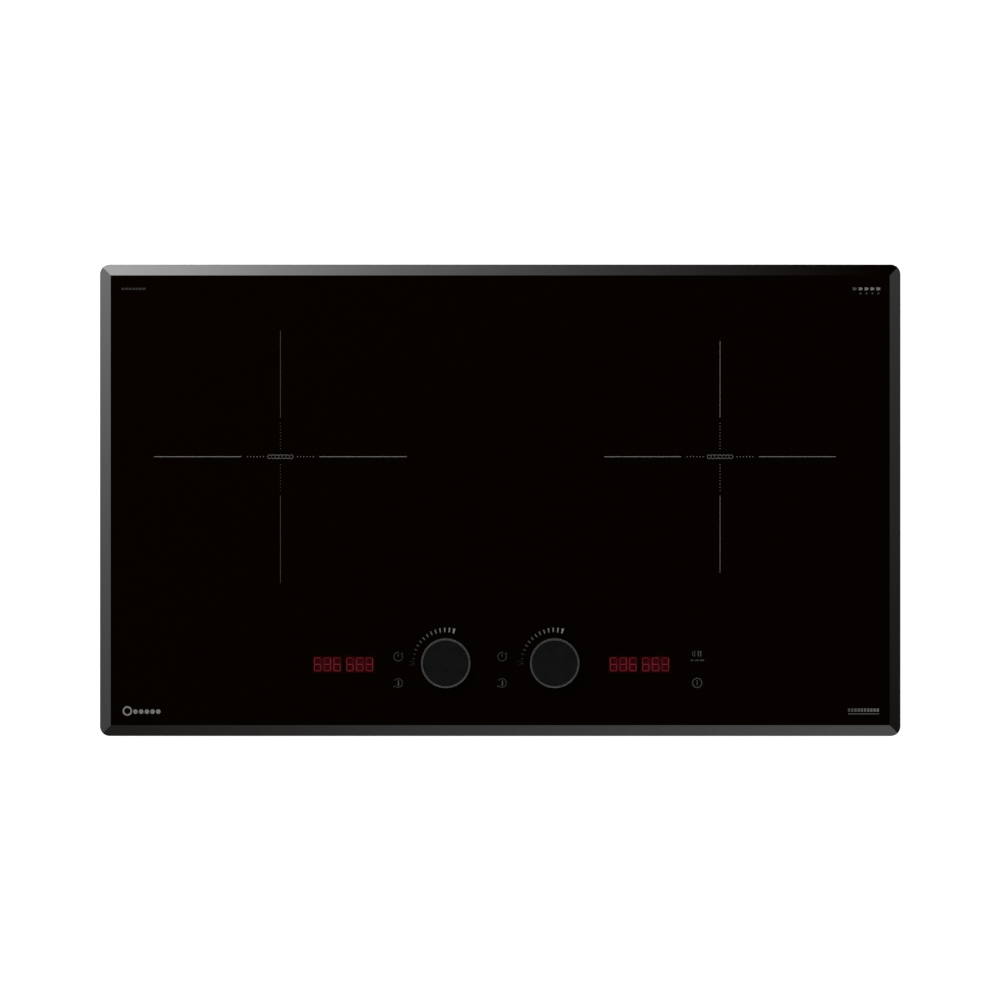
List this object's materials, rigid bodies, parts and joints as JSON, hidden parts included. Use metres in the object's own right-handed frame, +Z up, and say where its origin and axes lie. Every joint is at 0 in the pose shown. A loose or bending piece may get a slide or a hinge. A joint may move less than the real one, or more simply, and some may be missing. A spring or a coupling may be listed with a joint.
{
  "type": "induction cooktop",
  "caption": "Built-in induction cooktop: bevelled black glass top with two cooking zones, encoder knobs and displays over a shallow steel tray with worktop clamps.",
  "frame": {"origin": "centre of the tray's underside, at the lowest point of the hob", "axes": "+X to the user's right, +Y away from the user, +Z up through the glass"},
  "size_m": [0.73, 0.43, 0.074],
  "materials": {
    "black_glass": "polished black glass-ceramic",
    "gasket_foam": "matt foam",
    "galvanised_steel": "galvanised, faint spangle",
    "zinc_steel": "bright zinc plating",
    "label_foil": "satin foil, blank",
    "black_rubber": "matt",
    "grey_nylon": "matt",
    "mica": "satin sheet",
    "copper_litz": "lacquered copper strands",
    "black_nylon": "fine moulded texture",
    "ferrite": "matt sintered",
    "spring_steel": "bright drawn wire",
    "white_silicone": "matt",
    "bare_aluminium": "mill finish",
    "green_board": "solder mask",
    "epoxy_black": "moulded epoxy",
    "capacitor_case": "semi-gloss",
    "stator_copper": "enamelled wire and laminations",
    "display_red": "smoked red filter over seven-segment digits",
    "knob_black": "satin, circular brushed",
    "knob_rim": "dark anodised, satin",
    "cable_insulation": "smooth insulation"
  },
  "bodies": {
    "hob_base": {"back_panel": "galvanised_steel", "bottom_tray": "galvanised_steel", "cable_grommet": "black_rubber", "clamp_brackets": "zinc_steel", "coil_carrier_left": "black_nylon", "coil_carrier_right": "black_nylon", "coil_springs": "spring_steel", "coil_winding_left": "copper_litz", "coil_winding_right": "copper_litz", "control_board": "green_board", "control_carrier": "black_nylon", "cord_clamp": "grey_nylon", "display_left": "display_red", "display_right": "display_red", "encoder_body_left": "black_nylon", "encoder_body_right": "black_nylon", "fan_frame_left": "black_nylon", "fan_frame_right": "black_nylon", "fan_stators": "stator_copper", "ferrite_bars_left": "ferrite", "ferrite_bars_right": "ferrite", "film_capacitors": "capacitor_case", "filter_chokes": "ferrite", "glass_frame": "galvanised_steel", "glass_top": "black_glass", "heat_sink_left": "bare_aluminium", "heat_sink_right": "bare_aluminium", "mica_discs": "mica", "power_board_left": "green_board", "power_board_right": "green_board", "power_transistors": "epoxy_black", "rating_plate": "label_foil", "shaft_seals": "black_rubber", "shield_plate_left": "bare_aluminium", "shield_plate_right": "bare_aluminium", "temperature_sensors": "white_silicone", "terminal_block": "grey_nylon", "terminal_screws": "zinc_steel", "touch_springs": "spring_steel", "tray_screws": "zinc_steel", "wiring_harness": "cable_insulation", "worktop_gasket": "gasket_foam"},
    "fan_left": {"fan_rotor_left": "black_nylon", "fan_shaft_left": "spring_steel"},
    "shaft_left": {"encoder_shaft_left": "spring_steel"},
    "knob_left": {"knob_cap_left": "knob_black", "knob_ring_left": "knob_rim"},
    "fan_right": {"fan_rotor_right": "black_nylon", "fan_shaft_right": "spring_steel"},
    "shaft_right": {"encoder_shaft_right": "spring_steel"},
    "knob_right": {"knob_cap_right": "knob_black", "knob_ring_right": "knob_rim"},
    "screw_back_right": {"clamp_screw_back_right": "zinc_steel"},
    "arm_back_right": {"clamp_arm_back_right": "zinc_steel"},
    "screw_front_right": {"clamp_screw_front_right": "zinc_steel"},
    "arm_front_right": {"clamp_arm_front_right": "zinc_steel"},
    "screw_back_left": {"clamp_screw_back_left": "zinc_steel"},
    "arm_back_left": {"clamp_arm_back_left": "zinc_steel"},
    "screw_front_left": {"clamp_screw_front_left": "zinc_steel"},
    "arm_front_left": {"clamp_arm_front_left": "zinc_steel"}
  },
  "joints": [
    {"name": "knob_turn_left", "type": "hinge", "parent": "hob_base", "child": "shaft_left", "pos_m": [-0.04945, -0.1479, 0.06], "axis": [0, 0, 1], "continuous": true},
    {"name": "knob_pull_left", "type": "slide", "parent": "shaft_left", "child": "knob_left", "axis": [0, 0, 1], "range_m": [0, 0.015]},
    {"name": "fan_spin_left", "type": "hinge", "parent": "hob_base", "child": "fan_left", "pos_m": [-0.05265, 0.11, 0.01], "axis": [0, 0, 1], "continuous": true},
    {"name": "knob_turn_right", "type": "hinge", "parent": "hob_base", "child": "shaft_right", "pos_m": [0.04945, -0.1479, 0.06], "axis": [0, 0, 1], "continuous": true},
    {"name": "knob_pull_right", "type": "slide", "parent": "shaft_right", "child": "knob_right", "axis": [0, 0, 1], "range_m": [0, 0.015]},
    {"name": "fan_spin_right", "type": "hinge", "parent": "hob_base", "child": "fan_right", "pos_m": [0.05265, 0.11, 0.01], "axis": [0, 0, 1], "continuous": true},
    {"name": "clamp_swing_back_right", "type": "hinge", "parent": "hob_base", "child": "screw_back_right", "pos_m": [0.329, 0.11, 0.01], "axis": [0, 0, 1], "range_deg": [0, 90]},
    {"name": "clamp_lift_back_right", "type": "slide", "parent": "screw_back_right", "child": "arm_back_right", "axis": [0, 0, 1], "range_m": [0, 0.02]},
    {"name": "clamp_swing_front_right", "type": "hinge", "parent": "hob_base", "child": "screw_front_right", "pos_m": [0.329, -0.11, 0.01], "axis": [0, 0, -1], "range_deg": [0, 90]},
    {"name": "clamp_lift_front_right", "type": "slide", "parent": "screw_front_right", "child": "arm_front_right", "axis": [0, 0, 1], "range_m": [0, 0.02]},
    {"name": "clamp_swing_back_left", "type": "hinge", "parent": "hob_base", "child": "screw_back_left", "pos_m": [-0.329, 0.11, 0.01], "axis": [0, 0, -1], "range_deg": [0, 90]},
    {"name": "clamp_lift_back_left", "type": "slide", "parent": "screw_back_left", "child": "arm_back_left", "axis": [0, 0, 1], "range_m": [0, 0.02]},
    {"name": "clamp_swing_front_left", "type": "hinge", "parent": "hob_base", "child": "screw_front_left", "pos_m": [-0.329, -0.11, 0.01], "axis": [0, 0, 1], "range_deg": [0, 90]},
    {"name": "clamp_lift_front_left", "type": "slide", "parent": "screw_front_left", "child": "arm_front_left", "axis": [0, 0, 1], "range_m": [0, 0.02]}
  ]
}
